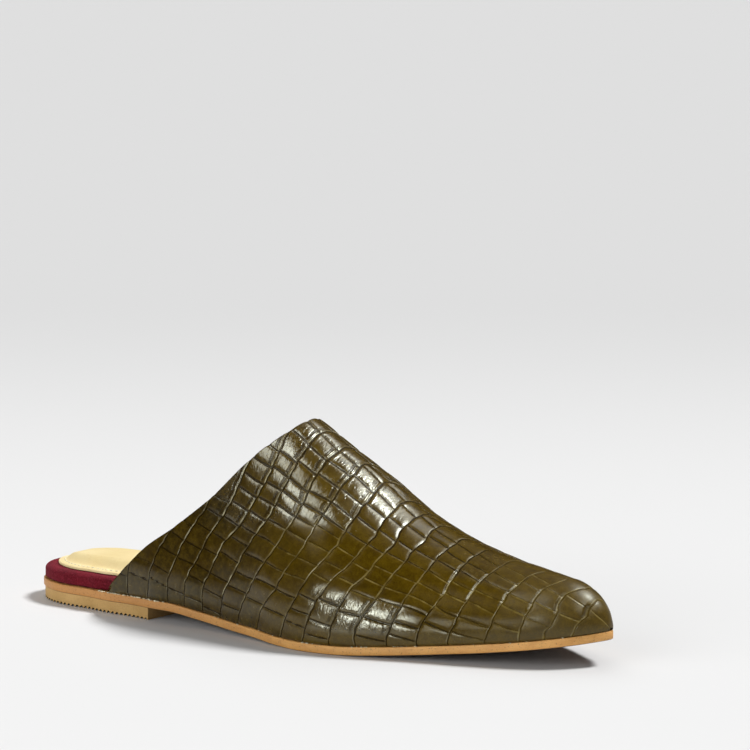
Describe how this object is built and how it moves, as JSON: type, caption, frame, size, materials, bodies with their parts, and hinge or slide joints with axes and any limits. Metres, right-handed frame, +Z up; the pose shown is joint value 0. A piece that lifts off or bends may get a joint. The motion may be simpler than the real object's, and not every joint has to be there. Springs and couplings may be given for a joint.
{
  "type": "babouche slipper",
  "caption": "Right-foot pointed leather babouche slipper, open at the heel, with a tall square-tile embossed vamp, padded sock, thin leather outsole and low heel lift.",
  "frame": {"origin": "on the floor under the middle of the heel lift, on the outline's straight centre line", "axes": "+X from heel to toe, +Y to the inner (medial) side of the right foot, +Z up"},
  "size_m": [0.266, 0.0813, 0.0813],
  "materials": {
    "outsole_leather": "natural tan vegetable-tanned leather, smooth, a little darker at its cut edge",
    "lift_rubber": "matt yellow-tan heel block with fine cross ribs underneath",
    "footbed_suede": "burgundy suede wrap, napped",
    "sock_leather": "cream leather, satin, with a line of stitches round the heel pad",
    "upper_leather": "olive leather embossed in square and oblong tiles, glossy"
  },
  "bodies": {
    "root": {"outsole": "outsole_leather", "heel_lift": "lift_rubber", "footbed": "footbed_suede", "sock": "sock_leather", "upper": "upper_leather"}
  },
  "joints": []
}
